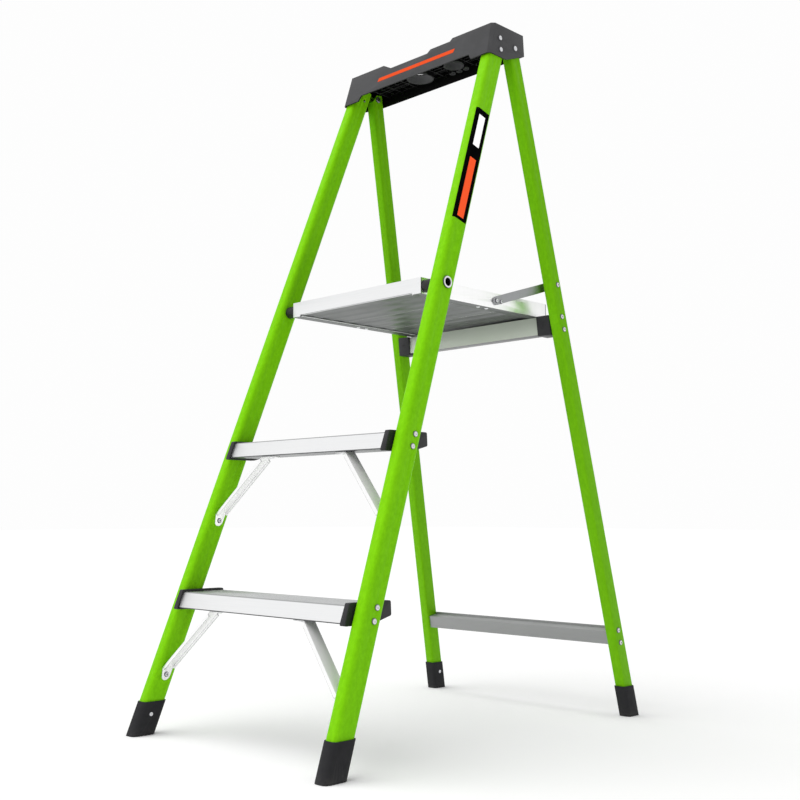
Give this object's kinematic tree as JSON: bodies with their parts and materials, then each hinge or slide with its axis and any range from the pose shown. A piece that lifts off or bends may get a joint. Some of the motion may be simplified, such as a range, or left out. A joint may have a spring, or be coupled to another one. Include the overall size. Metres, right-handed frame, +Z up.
{
  "type": "platform stepladder",
  "caption": "Folding fibreglass stepladder with a fold-up standing platform, hollow treads on splayed box rails, a moulded tool-tray top and rubber feet.",
  "frame": {"origin": "On the floor, at the middle of the four boots' outline.", "axes": "+Z up, -Y the climbing side, +X the climber's right, +Y toward the rear legs."},
  "size_m": [0.5972, 0.913, 1.4735],
  "materials": {
    "fibreglass": "bright lime-green pultruded fibreglass, satin gloss with fine lengthwise fibre grain",
    "aluminium": "mill-finish extruded and pressed aluminium, satin",
    "moulding": "charcoal moulded plastic with a fine matte texture",
    "black_plastic": "near-black moulded plastic",
    "rubber": "matte black rubber",
    "zinc": "zinc-plated steel, semi-bright"
  },
  "bodies": {
    "front_frame": {"top_cap": "moulding", "step_1": "aluminium", "step_2": "aluminium", "front_rail_left": "fibreglass", "front_boot_left": "rubber", "step_1_bracket_left": "black_plastic", "knee_brace_1_left": "aluminium", "cap_rivet_left_1": "zinc", "step_1_rivet_left_1": "zinc", "step_1_rivet_left_2": "zinc", "step_2_bracket_left": "black_plastic", "knee_brace_2_left": "aluminium", "cap_rivet_left_2": "zinc", "step_2_rivet_left_1": "zinc", "step_2_rivet_left_2": "zinc", "platform_pivot_tube_left": "zinc", "pivot_spacer_left": "black_plastic", "rear_pivot_rivet_left": "zinc", "front_rail_right": "fibreglass", "front_boot_right": "rubber", "step_1_bracket_right": "black_plastic", "knee_brace_1_right": "aluminium", "cap_rivet_right_1": "zinc", "step_1_rivet_right_1": "zinc", "step_1_rivet_right_2": "zinc", "step_2_bracket_right": "black_plastic", "knee_brace_2_right": "aluminium", "cap_rivet_right_2": "zinc", "step_2_rivet_right_1": "zinc", "step_2_rivet_right_2": "zinc", "platform_pivot_tube_right": "zinc", "pivot_spacer_right": "black_plastic", "rear_pivot_rivet_right": "zinc"},
    "rear_frame": {"rear_crossbar": "aluminium", "lower_brace": "aluminium", "rear_rail_left": "fibreglass", "rear_boot_left": "rubber", "crossbar_cap_left": "black_plastic", "rear_rail_right": "fibreglass", "rear_boot_right": "rubber", "crossbar_cap_right": "black_plastic"},
    "platform": {"platform_plank_1": "aluminium", "platform_plank_2": "aluminium", "platform_plank_3": "aluminium", "platform_front_plate": "aluminium", "platform_rear_plate": "aluminium", "platform_side_left": "aluminium", "link_pin_left": "zinc", "platform_side_right": "aluminium", "link_pin_right": "zinc"},
    "link_left": {"link_left": "aluminium"},
    "link_right": {"link_right": "aluminium"}
  },
  "joints": [
    {"name": "rear_frame_hinge", "type": "hinge", "parent": "front_frame", "child": "rear_frame", "pos_m": [0, 0.1423, 1.434], "axis": [-1, 0, 0], "range_deg": [0, 28]},
    {"name": "platform_hinge", "type": "hinge", "parent": "front_frame", "child": "platform", "pos_m": [0, -0.109, 0.8787], "axis": [1, 0, 0], "range_deg": [0, 70.7]},
    {"name": "link_left_hinge", "type": "hinge", "parent": "platform", "child": "link_left", "pos_m": [-0.1957, 0.1065, 0.8793], "axis": [-1, 0, 0], "range_deg": [0, 164.3]},
    {"name": "link_right_hinge", "type": "hinge", "parent": "platform", "child": "link_right", "pos_m": [0.1957, 0.1065, 0.8793], "axis": [-1, 0, 0], "range_deg": [0, 164.3]}
  ],
  "couplings": [
    {"joint": "platform_hinge", "follows": "rear_frame_hinge", "ratio": 2.524},
    {"joint": "link_left_hinge", "follows": "rear_frame_hinge", "ratio": 5.867},
    {"joint": "link_right_hinge", "follows": "rear_frame_hinge", "ratio": 5.867}
  ]
}
